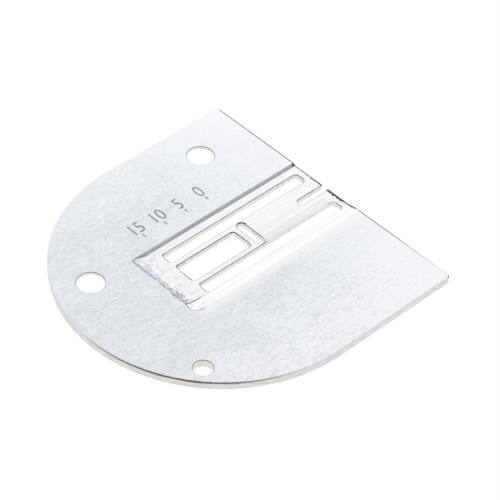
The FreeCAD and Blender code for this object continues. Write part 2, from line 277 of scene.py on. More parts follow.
class CameraSettings(bpy.types.PropertyGroup):
    """The viewing angle."""
    azimuth: angle("Azimuth", "Turn of the camera round the plate", 224.75)
    elevation: angle("Elevation", "Height of the camera over the plate", 43.53)
    roll: angle("Roll", "Turn of the camera about its own line of sight", 2.862)
    distance: length("Distance", "From the aim to the camera", 416.94)
    aim_x: length("Aim across", "Where the camera looks, across the feed", -2.104)
    aim_y: length("Aim along", "Where the camera looks, along the feed", -6.752)
    lens: bpy.props.FloatProperty(
        name="Lens", description="Focal length for a 36 mm sensor", default=170.63,
        unit="CAMERA")


SETTINGS = {
    "plate_blank": BlankSizes,
    "plate_channel": ChannelSizes,
    "plate_slots": SlotSizes,
    "plate_holes": HoleSizes,
    "plate_scale": ScaleSizes,
    "plate_colours": FinishColours,
    "plate_stage": StageSettings,
    "plate_camera": CameraSettings,
}


def clear_selection():
    if bpy.context.object and bpy.context.object.mode != "OBJECT":
        bpy.ops.object.mode_set(mode="OBJECT")
    bpy.ops.object.select_all(action="DESELECT")


def make_active(piece):
    clear_selection()
    piece.select_set(True)
    bpy.context.view_layer.objects.active = piece


def everything(item):
    return True


def is_rim(face):
    return UPRIGHT < abs(face.normal.z) < LEVEL


def pick(kind, test):
    """Select the vertices, edges or faces (kind) of the mesh in edit mode that pass the test."""
    bpy.ops.mesh.select_mode(type=kind)
    bpy.ops.mesh.select_all(action="DESELECT")
    mesh = bmesh.from_edit_mesh(bpy.context.edit_object.data)
    for item in {"VERT": mesh.verts, "EDGE": mesh.edges, "FACE": mesh.faces}[kind]:
        if test(item):
            item.select_set(True)
    mesh.select_flush_mode()
    bmesh.update_edit_mesh(bpy.context.edit_object.data)


def extrude(x, y, z):
    bpy.ops.mesh.extrude_region_move(TRANSFORM_OT_translate={"value": (x, y, z)})


def extrude_all(height):
    bpy.ops.mesh.select_all(action="SELECT")
    extrude(0, 0, height)


def shift(test, x, y, z):
    """Move the vertices whose place passes the test."""
    pick("VERT", lambda vertex: test(vertex.co))
    bpy.ops.transform.translate(value=(x, y, z))


def close_and_place(name):
    """Leave edit mode with the faces outwards and the place in the mesh."""
    bpy.ops.mesh.select_mode(type="FACE")
    bpy.ops.mesh.select_all(action="SELECT")
    bpy.ops.mesh.remove_doubles(threshold=TINY / 10)
    bpy.ops.mesh.normals_make_consistent(inside=False)
    bpy.ops.object.mode_set(mode="OBJECT")
    bpy.ops.object.transform_apply(location=True, rotation=True, scale=True)
    piece = bpy.context.object
    piece.name = name
    piece.data.name = name
    return piece


def paint(piece, finish, test=everything):
    """Give the faces that pass the test this finish."""
    materials = piece.data.materials
    if finish.name not in materials:
        materials.append(finish)
    index = materials.find(finish.name)
    for face in piece.data.polygons:
        if test(face):
            face.material_index = index


def apply_modifier(piece, kind, **settings):
    make_active(piece)
    bpy.ops.object.modifier_add(type=kind)
    modifier = piece.modifiers[-1]
    for name, value in settings.items():
        setattr(modifier, name, value)
    bpy.ops.object.modifier_apply(modifier=modifier.name)


def combine(plate, tool, operation="DIFFERENCE"):
    """Cut the tool out of the plate, or weld it on, and keep the finish of the tool's faces."""
    apply_modifier(plate, "BOOLEAN", operation=operation, solver="EXACT",
                   material_mode="TRANSFER", object=tool)
    bpy.data.objects.remove(tool)


def round_corners(corners):
    """Round corners of the flat face in edit mode. Each is (test of the vertex's place, radius)."""
    for test, radius in corners:
        pick("VERT", lambda vertex: test(vertex.co))
        bpy.ops.mesh.bevel(
            offset_type="OFFSET", offset=radius, segments=CORNER_STEPS, affect="VERTICES",
            clamp_overlap=False)


def add_rectangle(low, high, front, rear, level):
    """A flat face in edit mode, from low to high across the feed, its place in its mesh."""
    clear_selection()
    bpy.ops.mesh.primitive_plane_add(
        size=1, location=((low + high) / 2, (front + rear) / 2, level))
    bpy.context.object.scale = (high - low, rear - front, 1)
    bpy.ops.object.transform_apply(location=True, rotation=True, scale=True)
    bpy.ops.object.mode_set(mode="EDIT")


def sink(start, level, rim, bottom):
    """Draw the face in edit mode down to a cutter with a flared upper end.

    The face lies at start. At level, the surface that is cut, the cutter narrows along a
    quarter circle of the rim's radius, and then goes straight down to bottom.
    """
    down = -1 if bottom < start else 1
    turns = [math.pi / 2 * step / RIM_STEPS for step in range(RIM_STEPS + 1)]
    narrowings = [rim * (math.sin(b) - math.sin(a)) for a, b in zip(turns, turns[1:])]
    drops = [rim * (math.cos(a) - math.cos(b)) for a, b in zip(turns, turns[1:])]
    lead = flare_lead(rim)
    raise_by = drops[0] * lead / narrowings[0]
    pick("FACE", everything)
    if bmesh.from_edit_mesh(bpy.context.edit_object.data).faces[:][0].normal.z * down < 0:
        bpy.ops.mesh.flip_normals()
    extrude(0, 0, down * (abs(start - level) - raise_by))
    narrowings[0] += lead
    drops[0] += raise_by
    for narrowing, drop in zip(narrowings, drops):
        bpy.ops.mesh.inset(thickness=narrowing, depth=drop, use_even_offset=True)
    extrude(0, 0, bottom - level + rim * -down)


def flare_lead(rim):
    """How much wider than the rim's curve a cutter starts, so that it crosses the surface."""
    return rim * math.sin(math.pi / 2 / RIM_STEPS) / 2


def dressed_cutter(name, finishes):
    """Close the cutter in edit mode and give it its finishes.

    Walls get one finish, the flared rim another, and its right and rear sides a darker one, which
    is painted shade.
    """
    cutter = close_and_place(name)
    away = 0.15
    paint(cutter, finishes["slot_wall"])
    paint(cutter, finishes["slot_rim"], is_rim)
    paint(cutter, finishes["dark_rim"], lambda face: (
        is_rim(face) and face.normal.y - face.normal.x > away))
    return cutter


def slot_cutter(name, low, high, front, rear, corner, rim, level, finishes):
    """A cutter for a slot with round corners, from above the plate to below it."""
    wide = rim + flare_lead(rim)
    add_rectangle(low - wide, high + wide, front - wide, rear + wide, HIGH.z + PAST)
    round_corners([(everything, corner + wide)])
    sink(HIGH.z + PAST, level, rim, LOW.z - PAST)
    return dressed_cutter(name, finishes)


def hole_cutter(name, centre, radius, rim, level, start, bottom, finishes):
    """A round cutter that starts at one level and ends at another, on either side."""
    clear_selection()
    bpy.ops.mesh.primitive_circle_add(
        vertices=HOLE_STEPS, radius=radius + rim + flare_lead(rim), fill_type="NGON",
        location=(centre[0], centre[1], start))
    bpy.ops.object.mode_set(mode="EDIT")
    sink(start, level, rim, bottom)
    return dressed_cutter(name, finishes)


def model_blank(sizes, finishes):
    """The stamped blank: half a circle, straight sides and a straight front edge."""
    half = (HIGH.x - LOW.x) / 2
    front = LOW.y - ROUND_CENTRE
    clear_selection()
    bpy.ops.mesh.primitive_circle_add(
        vertices=ROUND_STEPS, radius=half, fill_type="NOTHING", location=(0, ROUND_CENTRE, LOW.z))
    bpy.ops.object.mode_set(mode="EDIT")
    pick("VERT", lambda vertex: vertex.co.y < -TINY)
    bpy.ops.mesh.delete(type="VERT")
    pick("VERT", lambda vertex: vertex.co.y < TINY)
    extrude(0, front, 0)
    bpy.ops.mesh.edge_face_add()
    bpy.ops.mesh.select_all(action="SELECT")
    bpy.ops.mesh.edge_face_add()
    round_corners([(lambda place: place.y < front + TINY, sizes.front_corner)])
    extrude_all(HIGH.z - LOW.z)
    pick("EDGE", lambda edge: abs(edge.verts[0].co.z - edge.verts[1].co.z) < TINY)
    bpy.ops.mesh.bevel(
        offset=sizes.edge_round, segments=RIM_STEPS, affect="EDGES", clamp_overlap=False)
    plate = close_and_place("finished_plate")
    paint(plate, finishes["plating"], lambda face: abs(face.normal.z) > LEVEL)
    paint(plate, finishes["outer_edge"], lambda face: abs(face.normal.z) < UPRIGHT)
    paint(plate, finishes["outer_rim"], is_rim)
    return plate


def roughen(piece, group, grain, height, direction="Z", middle=0.5):
    """Push the group's vertices in and out along one axis by noise of this grain."""
    clouds = bpy.data.textures.new(f"{piece.name}_noise", "CLOUDS")
    clouds.noise_scale = grain
    clouds.noise_depth = 3
    apply_modifier(piece, "DISPLACE", texture=clouds, texture_coords="LOCAL", vertex_group=group,
                   direction=direction, mid_level=middle, strength=height)
    bpy.data.textures.remove(clouds)


def group_of(piece, name, test):
    """A vertex group of the vertices whose place passes the test."""
    group = piece.vertex_groups.new(name=name)
    group.add([v.index for v in piece.data.vertices if test(v.co)], 1.0, "REPLACE")
    return name


def channel_cutter(sizes, finishes):
    """The milling cutter's path: floor, steep wall, shallow bevel, and a torn ramp."""
    floor, ramp_foot = sizes.floor, sizes.ramp_foot
    wall_foot, bevel_foot = sizes.wall_foot, sizes.bevel_foot
    front = LOW.y - PAST
    middle = (wall_foot + bevel_foot) / 2
    stretch = 1.5
    add_rectangle(bevel_foot, wall_foot, front, ramp_foot, floor)
    round_corners([
        (lambda place: place.x > middle and place.y > 0, sizes.wall_corner),
        (lambda place: place.x < bevel_foot + TINY and place.y > ramp_foot - TINY,
         sizes.bevel_corner),
    ])
    extrude_all(sizes.depth * stretch)
    above = floor + sizes.depth
    shift(lambda place: place.z > above and place.x > middle, sizes.wall_run * stretch, 0, 0)
    shift(lambda place: place.z > above and place.x < middle, -sizes.bevel_run * stretch, 0, 0)
    shift(lambda place: place.z > above and place.y > front + TINY, 0, sizes.ramp_run * stretch, 0)
    pick("FACE", lambda face: is_ramp(face, sizes))
    bpy.ops.mesh.subdivide(number_cuts=RAMP_CUTS)
    cutter = close_and_place("channel_cutter")

    slope = sizes.depth / sizes.ramp_run
    left = wall_foot - sizes.wall_corner
    right = bevel_foot + sizes.bevel_corner
    lean = sizes.wall_run / sizes.ramp_run
    lowest, highest = floor + TINY, floor + sizes.depth * stretch - TINY
    ramp = group_of(cutter, "ramp", lambda place: (
        lowest < place.z < highest
        and abs(place.z - floor - (place.y - ramp_foot) * slope) < TINY
        and right + TINY < place.x < left + (place.y - ramp_foot) * lean - 10 * TINY))
    for grain, strength in ((1.3 * MM, 1.5), (0.45 * MM, 1.0)):
        roughen(cutter, ramp, grain, sizes.tearing * strength)
    steep, sloping = 0.5, 0.02
    paint(cutter, finishes["milled"])
    paint(cutter, finishes["wall"], lambda face: face.normal.x > steep)
    paint(cutter, finishes["ramp"], lambda face: (
        face.center.y > ramp_foot - sizes.bevel_corner and face.normal.x < steep
        and face.normal.y > sloping and face.center.z < HIGH.z + PAST))
    return cutter


def is_ramp(face, sizes):
    """Whether this is the cutter's large face behind the ramp's foot."""
    centre = face.calc_center_median()
    return (centre.y > sizes.ramp_foot + TINY and centre.z < HIGH.z
            and face.calc_area() > RAMP_AREA)


def facet_cutter(slots, channel, finishes):
    """A long wedge that lowers the tongue's edge beside the right slot, and fades in front."""
    floor = channel.floor
    slot_side = channel.feed_line - slots.half_tongue
    crease = slot_side + slots.facet_width
    front = LOW.y + slots.slot_front_land + slots.slot_corner
    slope = slots.facet_drop / slots.facet_width
    inside = 0.4 * MM
    fade = 2.0 * MM
    height = PAST / 2
    drop = slope * (slots.facet_width + inside)
    add_rectangle(slot_side - inside, crease, front, slots.needle_front, floor)
    extrude_all(height)
    shift(lambda place: place.y < front + TINY and place.z > floor + TINY,
          0, -height * fade / drop, 0)
    shift(lambda place: (
        place.y < front + TINY and place.z < floor + TINY and place.x < crease - TINY), 0, fade, 0)
    shift(lambda place: place.z < floor + TINY and place.x < crease - TINY, 0, 0, -drop)
    shift(lambda place: place.z > floor + TINY and place.x > crease - TINY, height / slope, 0, 0)
    cutter = close_and_place("facet_cutter")
    paint(cutter, finishes["milled"])
    return cutter


def notch_cutter(slots, channel, finishes):
    """The thread notch, round at its inner end and eased at its mouth."""
    rim = slots.slot_rim
    wide = rim + flare_lead(rim)
    side = slots.notch_width / 2 + wide
    mouth = LOW.y
    inner = mouth + slots.notch_length + wide
    middle = channel.feed_line
    add_rectangle(middle - side, middle + side, mouth, inner, HIGH.z + PAST)
    pick("EDGE", lambda edge: all(v.co.y < mouth + TINY for v in edge.verts))
    extrude(0, -PAST, 0)
    pick("VERT", lambda vertex: vertex.co.y < mouth - TINY)
    bpy.ops.transform.resize(value=(1 + 2 * slots.notch_mouth / side, 1, 1))
    round_corners([(lambda place: place.y > inner - TINY, slots.notch_corner + wide)])
    bpy.ops.mesh.select_all(action="SELECT")
    bpy.ops.mesh.dissolve_faces()
    sink(HIGH.z + PAST, channel.floor, rim, LOW.z - PAST)
    return dressed_cutter("notch_cutter", finishes)


def slot_shapes(slots, feed):
    """Each slot's two sides, front, rear, corner radius and rim radius."""
    near, far = slots.half_tongue, slots.half_tongue + slots.slot_width
    half_opening = near - slots.bar_width
    half_needle = near - slots.land
    long_slot = (
        LOW.y + slots.slot_front_land, slots.slot_rear, slots.slot_corner, slots.slot_rim)
    return {
        "left_slot": (feed + near, feed + far, *long_slot),
        "right_slot": (feed - far, feed - near, *long_slot),
        "middle_opening": (
            feed - half_opening, feed + half_opening, slots.needle_rear + slots.bridge,
            slots.slot_rear, slots.opening_corner, slots.thread_rim),
        "needle_slot": (
            feed - half_needle, feed + half_needle, slots.needle_front, slots.needle_rear,
            slots.needle_slot_corner, slots.thread_rim),
    }


def cut_slots(plate, slots, channel, finishes):
    """Cut the slots out of the channel's floor, and leave torn metal at some corners."""
    floor = channel.floor
    for name, shape in slot_shapes(slots, channel.feed_line).items():
        _, high, front, _, corner, rim = shape
        cutter = slot_cutter(name, *shape, floor, finishes)
        if name in ("middle_opening", "needle_slot"):
            paint(cutter, finishes["torn"], lambda face: (
                face.center.x > high - corner / 2 and face.center.y < front + corner
                and abs(face.center.z - floor) < rim * 1.5))
        if name == "right_slot":
            paint(cutter, finishes["slot_wall"], lambda face: (
                face.normal.x > 0.1 and face.center.y < slots.needle_front))
        combine(plate, cutter)


def drill_holes(plate, holes, finishes):
    """Drill the mounts' holes, and relieve those whose wall is thinner than the plate."""
    for name in ("front_hole", "rear_hole", "small_hole"):
        place, dims = MOUNTS[name]["pos_m"], MOUNTS[name]["dims"]
        wall = dims["length_mm"] * MM
        combine(plate, hole_cutter(
            name, place, dims["r_mm"] * MM, holes.rim, HIGH.z, HIGH.z + PAST, LOW.z - PAST,
            finishes))
        if wall < HIGH.z - LOW.z - TINY:
            combine(plate, hole_cutter(
                name + "_relief", place, holes.relief / 2, holes.rim, LOW.z, LOW.z - PAST,
                HIGH.z - wall, finishes))


def raise_burrs(plate, channel, slots, finishes):
    """Ragged dark burrs that the cutter left along the channel's open end; their near-black is torn
    metal and painted reflection.
    """
    bevel_foot = channel.bevel_foot
    notch_right = channel.feed_line - slots.notch_width / 2
    notch_left = channel.feed_line + slots.notch_width / 2
    gap = 0.1 * MM
    clear_of_top = 0.5 * MM
    thick_end = notch_left + 3.0 * MM
    # Each stretch: its two ends, its reach along the feed, and its share of the height.
    stretches = [
        (bevel_foot, notch_right, 0.18 * MM, 0.8),
        (channel.bevel_top + clear_of_top, bevel_foot - gap, 0.15 * MM, 0.6),
        (notch_left, thick_end, 0.11 * MM, 0.7),
        (thick_end + gap, channel.wall_foot, 0.07 * MM, 0.5),
    ]
    ridges = []
    for number, (low, high, reach, part) in enumerate(stretches):
        rise = (high - low) / channel.bevel_run * channel.depth if high < bevel_foot else 0
        ridges.append(burr_ridge(
            f"burr_{number}", low, high, reach, channel.floor, rise, channel.burr_height * part))
    make_active(ridges[0])
    for ridge in ridges:
        ridge.select_set(True)
    bpy.ops.object.join()
    burrs = bpy.context.object
    paint(burrs, finishes["torn"])
    combine(plate, burrs, "UNION")


def burr_ridge(name, low, high, reach, floor, rise, height):
    """A ragged strip along the front edge, on a floor that rises to the right by this much."""
    front = LOW.y + TINY * 10
    crest = floor + height / 2
    tooth = 0.08 * MM
    add_rectangle(low, high, front, front + reach, crest)
    extrude_all(-(HIGH.z - floor))
    shift(lambda place: place.x < low + TINY, 0, 0, rise)
    pick("EDGE", lambda edge: abs(edge.verts[0].co.x - edge.verts[1].co.x) > TINY)
    bpy.ops.mesh.subdivide(number_cuts=round((high - low) / tooth))
    pick("EDGE", lambda edge: min(v.co.z for v in edge.verts) > crest - TINY
         and abs(edge.verts[0].co.y - edge.verts[1].co.y) > TINY)
    bpy.ops.mesh.subdivide(number_cuts=3)
    ridge = close_and_place(name)
    top = group_of(ridge, "top", lambda place: (
        place.z > crest - TINY and low + TINY < place.x < high - TINY))
    inner = group_of(ridge, "inner", lambda place: (
        place.y > front + reach - TINY and low + TINY < place.x < high - TINY))
    roughen(ridge, inner, grain=0.26 * MM, height=reach * 5, direction="Y", middle=0.30)
    roughen(ridge, top, grain=0.20 * MM, height=height)
    return ridge


def scribe(plate, name, points, width, finish):
    """Cut a fine groove along a smooth line through five points of the surface."""
    clear_selection()
    bpy.ops.curve.primitive_nurbs_path_add()
    line = bpy.context.object
    line.data.bevel_depth = width / 2
    line.data.bevel_resolution = 1
    line.data.use_fill_caps = True
    for point, place in zip(line.data.splines[0].points, points):
        point.co = (*place, 1)
    bpy.ops.object.convert(target="MESH")
    bpy.ops.object.mode_set(mode="EDIT")
    groove = close_and_place(name)
    paint(groove, finish)
    combine(plate, groove)


def line_along(x, start, end, level, rises=(0, 0, 0, 0, 0)):
    """Five points along the feed, each raised from the level by so many millimetres."""
    return [(x, start + (end - start) * step / 4, level + rise * MM)
            for step, rise in enumerate(rises)]


def line_round(x, y, reach, level, degrees):
    """Five points round a corner's centre, at these turns."""
    turns = [math.radians(turn) for turn in degrees]
    return [(x + reach * math.cos(turn), y + reach * math.sin(turn), level) for turn in turns]


def scribe_lines(plate, channel, slots, finishes):
    """The thin lines round the bevel's rear end and at the needle slot's front corners."""
    torn = finishes["torn"]
    feed, floor, rear, bevel_top = (
        channel.feed_line, channel.floor, channel.rear, channel.bevel_top)
    slot_side = feed - slots.half_tongue - slots.slot_width
    level = floor + (channel.bevel_foot - slot_side) * (channel.depth / channel.bevel_run)
    start, knee, end = (
        slots.slot_rear - 0.3 * MM, channel.ramp_foot - 1.0 * MM, rear + 0.05 * MM)
    up_the_ramp = (0, 0, 0.058, 0.278, 0.458)
    round_the_bevel = ((slot_side, -0.3, 0), (slot_side, -1.4, 0.05), (bevel_top, 0.1, 0),
                       (bevel_top, -0.05, -0.9), (bevel_top, 0, -2.0))
    scribe(plate, "slot_line", line_along(slot_side, start, knee, level), 0.10 * MM, torn)
    scribe(plate, "ramp_line", line_along(
        slot_side, knee, end, level, up_the_ramp), 0.20 * MM, torn)
    scribe(plate, "bevel_line", [
        (side + across * MM, rear + along * MM, HIGH.z)
        for side, across, along in round_the_bevel], 0.12 * MM, torn)

    corner = slots.needle_slot_corner
    reach = corner + slots.thread_rim + 0.02 * MM
    left = slots.half_tongue - slots.land + feed - corner
    right = feed - slots.half_tongue + slots.land + corner
    along = slots.needle_front + corner
    scribe(plate, "needle_line", line_round(
        left, along, reach, floor, (-105, -75, -45, -15, 15)), 0.26 * MM, torn)
    scribe(plate, "needle_end_line", line_round(
        right, along, reach, floor, (260, 225, 190, 155, 120)), 0.16 * MM, torn)


def scribe_rear_ends(plate, slots, channel, finishes):
    """The thin dark burr lines round the rear ends of the slots."""
    floor = channel.floor
    shapes = slot_shapes(slots, channel.feed_line)
    beside = 0.01 * MM
    for name in ("left_slot", "middle_opening", "right_slot"):
        low, high, _, rear, corner, rim = shapes[name]
        edge = rear + rim + beside
        side = high + rim + beside
        scribe(plate, name + "_end", [
            (side, edge - corner, floor),
            (side, edge - corner * 0.4, floor),
            (side - corner * 0.5, edge + corner * 0.05, floor),
            ((low + high) / 2, edge, floor),
            (low + corner * 0.6, edge, floor),
        ], 0.12 * MM, finishes["torn"])


def engrave_scale(plate, sizes, slots, finishes):
    """Numbers and marks beside the channel, which count millimetres back from the needle."""
    for step in range(sizes.count):
        line = slots.needle_line + step * sizes.pitch
        clear_selection()
        bpy.ops.object.text_add()
        number = bpy.context.object
        number.data.body = str(round(step * sizes.pitch / MM))
        number.data.size = sizes.digit_height / sizes.digit_share
        number.data.align_x = "CENTER"
        number.data.offset = -sizes.digit_thinning
        number.data.extrude = sizes.depth
        number.data.resolution_u = 5
        bpy.ops.object.convert(target="MESH")
        number.rotation_euler.z = math.radians(-90)
        number.scale.x = sizes.digit_squeeze
        number.location = (sizes.near_side, line, HIGH.z)
        bpy.ops.object.mode_set(mode="EDIT")
        cutter = close_and_place(f"number_{step}")
        paint(cutter, finishes["engraving"])
        combine(plate, cutter)
        end = sizes.near_side - sizes.tick_gap
        add_rectangle(end - sizes.tick_length, end, line - sizes.tick_width / 2,
                      line + sizes.tick_width / 2, HIGH.z - sizes.depth)
        extrude_all(sizes.depth * 2)
        tick = close_and_place(f"tick_{step}")
        paint(tick, finishes["engraving"])
        combine(plate, tick)


def shade(plate):
    """Large faces stay flat, and small ones round off the rims, corners and torn metal."""
    make_active(plate)
    bpy.ops.object.mode_set(mode="EDIT")
    bpy.ops.mesh.select_all(action="SELECT")
    bpy.ops.mesh.remove_doubles(threshold=TINY / 5)
    bpy.ops.mesh.dissolve_degenerate(threshold=TINY / 5)
    bpy.ops.mesh.delete_loose(use_verts=True, use_edges=True, use_faces=False)
    bpy.ops.object.mode_set(mode="OBJECT")
    bpy.ops.object.shade_smooth_by_angle(angle=SMOOTH_ANGLE)
    for face in plate.data.polygons:
        if face.area > FLAT_AREA or abs(face.normal.z) > DEAD_LEVEL:
            face.use_smooth = False


def add_node(tree, kind, inputs=None, **settings):
    """Add a shader node, and set or link its inputs, each given by its name or number."""
    node = tree.nodes.new("ShaderNode" + kind)
    for name, value in settings.items():
        setattr(node, name, value)
    for socket, value in (inputs or {}).items():
        if isinstance(value, bpy.types.NodeSocket):
            tree.links.new(value, node.inputs[socket])
        else:
            node.inputs[socket].default_value = value
    return node


def steel(name, roughness):
    """A steel finish, with its node tree, shader and pattern coordinates in millimetres."""
    finish = bpy.data.materials.new(name)
    finish.use_nodes = True
    tree = finish.node_tree
    shader = tree.nodes["Principled BSDF"]
    shader.inputs["Metallic"].default_value = 1.0
    shader.inputs["Roughness"].default_value = roughness
    place = add_node(tree, "TexCoord").outputs["Object"]
    scaled = add_node(tree, "Mapping", {"Vector": place, "Scale": (1 / MM, 1 / MM, 1 / MM)})
    return finish, tree, shader, scaled.outputs["Vector"]


def noise(tree, place, grain, detail=2.0):
    """Noise whose grain is given in millimetres across, along and up."""
    stretched = add_node(tree, "Mapping", {"Vector": place, "Scale": [1 / size for size in grain]})
    return add_node(tree, "TexNoise", {
        "Vector": stretched.outputs["Vector"], "Scale": 1.0, "Detail": detail}).outputs["Fac"]


def remap(tree, value, low, high, to_low=0.0, to_high=1.0, shape="LINEAR"):
    """Map a value from one range to another and hold it at the ends."""
    ends = {"From Min": low, "From Max": high, "To Min": to_low, "To Max": to_high}
    node = add_node(tree, "MapRange", {**ends, "Value": value}, interpolation_type=shape)
    return node.outputs["Result"]


def ease(tree, value, low, high, to_low=0.0, to_high=1.0):
    return remap(tree, value, low, high, to_low, to_high, "SMOOTHSTEP")


def math_node(tree, operation, first, second):
    return add_node(tree, "Math", {0: first, 1: second}, operation=operation).outputs["Value"]


def times(tree, first, second):
    return math_node(tree, "MULTIPLY", first, second)


def larger(tree, first, second):
    return math_node(tree, "MAXIMUM", first, second)


def blend(tree, factor, first, second):
    """Blend two colours, each three numbers or an output."""
    first, second = (
        value if isinstance(value, bpy.types.NodeSocket) else (*value, 1)
        for value in (first, second))
    node = add_node(tree, "Mix", {"Factor": factor, 6: first, 7: second}, data_type="RGBA")
    return node.outputs[2]


def bump(tree, shader, height, distance=0.004 * MM, strength=0.4):
    node = add_node(tree, "Bump", {"Distance": distance, "Strength": strength, "Height": height})
    tree.links.new(node.outputs["Normal"], shader.inputs["Normal"])


def tint(tree, shader, colour_output):
    tree.links.new(colour_output, shader.inputs["Base Color"])


def add_up(tree, *parts):
    """The sum of outputs, each given as (output, weight)."""
    total = times(tree, *parts[0])
    for value, weight in parts[1:]:
        total = math_node(tree, "ADD", total, times(tree, value, weight))
    return total


def position(tree, place):
    """A place's X, Y and Z."""
    return add_node(tree, "SeparateXYZ", {"Vector": place}).outputs[:3]


def plating_finish(colours, channel):
    """Satin plating: short scratches along the feed over a fine mottle.

    Painted light makes it lighter at the front, at both sides and beside the bevel. It is duller
    below, and painted shade darkens it along the front edge.
    """
    finish, tree, shader, place = steel("satin_plating", 0.34)
    across, along, up = position(tree, place)
    blotches = noise(tree, place, BLOTCHES)
    scratches = noise(tree, place, SCRATCHES)
    mottle = noise(tree, place, MOTTLE)
    tone = add_up(tree, (blotches, 0.14), (scratches, 0.44), (mottle, 0.42))
    mixed = blend(tree, remap(tree, tone, 0.34, 0.66), colours.plating, colours.plating_pale)
    # Painted light: the top turns lighter towards the front edge and both sides, unevenly on the
    # right.
    to_front = ease(tree, along, -2.0, FRONT, 0.0, 0.75)
    to_left = ease(tree, across, *PAINTED_LIGHT_LEFT, 0.0, 0.34)
    to_right = ease(tree, across, *PAINTED_LIGHT_RIGHT, 0.06, 0.95)
    evenly = remap(tree, tone, 0.36, 0.64, 0.75, 1.10)
    unevenly = remap(tree, tone, 0.38, 0.62, 0.05, 1.45)
    elsewhere = math_node(tree, "ADD", to_front, to_left)
    painted_light_share = math_node(
        tree, "ADD", times(tree, elsewhere, evenly), times(tree, to_right, unevenly))
    mixed = blend(tree, remap(tree, painted_light_share, 0.0, 1.0), mixed, colours.plating_front)

    # Painted highlight: beside the bevel's crease the top turns to the milled colour, standing in
    # for the light on a rounded crease.
    crease, end = channel.bevel_top / MM, channel.rear / MM
    beside = ease(tree, across, crease - 3.0, crease)
    fades = ease(tree, along, end - 1.5, end + 0.5, 0.75, 0.0)
    left_of_channel = remap(tree, across, 0.0, 0.5, 1.0, 0.0)
    on_top = times(tree, left_of_channel, remap(tree, up, TOP - 0.2, TOP - 0.1))
    near = times(tree, times(tree, beside, fades), on_top)
    mixed = blend(tree, near, mixed, colours.milled)
    below = remap(tree, up, TOP / 2, TOP / 3, 0.0, 0.75)
    mixed = blend(tree, below, mixed, colours.plating)
    # Painted shade: a thin dark strip along the front edge of the top, fading out to the right.
    front_edge_shade = times(tree, remap(tree, along, FRONT + 0.34, FRONT + 0.24),
                    remap(tree, across, *FRONT_SHADE_FADE, 0.9, 0.15))
    tint(tree, shader, blend(tree, front_edge_shade, mixed, colours.outer_rim))
    tree.links.new(remap(tree, scratches, 0.3, 0.7, 0.28, 0.40), shader.inputs["Roughness"])
    bump(tree, shader, tone, 0.008 * MM, 0.6)
    return finish


def milled_finish(colours, channel):
    """Bright milled steel with long streaks along the feed, and smudges before the ramp."""
    finish, tree, shader, place = steel("milled_steel", 0.30)
    _, along, _ = position(tree, place)
    streaks = noise(tree, place, STREAKS)
    fine = noise(tree, place, FINE_STREAKS)
    tone = add_up(tree, (streaks, 0.7), (fine, 0.3))
    mixed = blend(tree, remap(tree, tone, 0.46, 0.74), colours.milled, colours.milled_dull)
    foot = channel.ramp_foot / MM
    smudges = remap(tree, noise(tree, place, FLOOR_SMUDGES, 3.0), 0.46, 0.66)
    smudges = times(tree, smudges, ease(tree, along, foot - 3.2, foot, 0.0, 0.9))
    tint(tree, shader, blend(tree, smudges, mixed, colours.ramp_dull))
    bump(tree, shader, tone)
    return finish


def worn_finish(name, bright, dull, roughness, grain, low=0.40, high=0.70):
    """Steel in two tones, mixed by noise whose grain is given across, along and up."""
    finish, tree, shader, place = steel(name, roughness)
    wear = noise(tree, place, grain)
    tint(tree, shader, blend(tree, remap(tree, wear, low, high), bright, dull))
    bump(tree, shader, wear)
    return finish


def rubbed_rear(tree, across, along):
    """How far a point of the outline lies in the part at the rear that painted shade darkens."""
    return remap(tree, add_up(tree, (along, 0.82), (across, -0.57)), 22.5, 29.0)


def outer_edge_finish(colours):
    """The bare outer wall, darkened along its top round the rear by painted shade."""
    finish, tree, shader, place = steel("outer_edge", 0.40)
    across, along, up = position(tree, place)
    wear = noise(tree, place, EDGE_WEAR)
    mixed = blend(
        tree, remap(tree, wear, 0.40, 0.70), colours.outer_edge, colours.outer_edge_dark)
    # Painted shade along the wall's top at the rear, with a ragged lower edge.
    ragged = add_up(tree, (up, 1.0), (wear, 0.16))
    dark = times(tree, rubbed_rear(tree, across, along),
                 remap(tree, ragged, TOP - 0.26, TOP - 0.16))
    tint(tree, shader, blend(tree, dark, mixed, colours.outer_rim))
    bump(tree, shader, wear)
    return finish


def outer_rim_finish(colours):
    """The outer rim, darkened by painted shade round the rear, along the front and at the right
    corner.
    """
    finish, tree, shader, place = steel("outer_rim", 0.28)
    across, along, _ = position(tree, place)
    wear = noise(tree, place, RIM_WEAR)
    # Painted shade along the front, at the right corner and round the rear, broken up by noise.
    front = times(tree, remap(tree, along, FRONT + 0.4, FRONT + 0.2),
                  remap(tree, across, *FRONT_SHADE_FADE, 1.0, 0.15))
    tip = LOW.x / MM + FRONT
    corner = remap(tree, add_up(tree, (along, 1.0), (across, 1.0)), tip + 0.95, tip + 0.75)
    front = larger(tree, front, corner)
    dark = times(tree, larger(tree, rubbed_rear(tree, across, along), front),
                 remap(tree, wear, 0.25, 0.5, 0.7, 1.0))
    tint(tree, shader, blend(tree, dark, colours.plating, colours.outer_rim))
    return finish


def wall_finish(colours, channel):
    """The steep wall, rubbed in lines, with painted shade at its foot, and darker at both ends."""
    finish, tree, shader, place = steel("steep_wall", 0.40)
    _, along, up = position(tree, place)
    lines = noise(tree, place, WALL_LINES)
    foot = channel.floor / MM
    # Painted shade in the crease at the wall's foot.
    low = remap(tree, up, foot + 0.30, foot + 0.06)
    rear = remap(tree, along, 7.0, 9.0, 0.0, 0.45)
    ends = larger(tree, remap(tree, along, FRONT + 0.8, FRONT + 0.4), rear)
    dark = larger(tree, remap(tree, lines, 0.40, 0.70), low)
    mixed = blend(tree, dark, colours.wall, colours.wall_dark)
    tint(tree, shader, blend(tree, ends, mixed, colours.torn))
    bump(tree, shader, lines)
    return finish


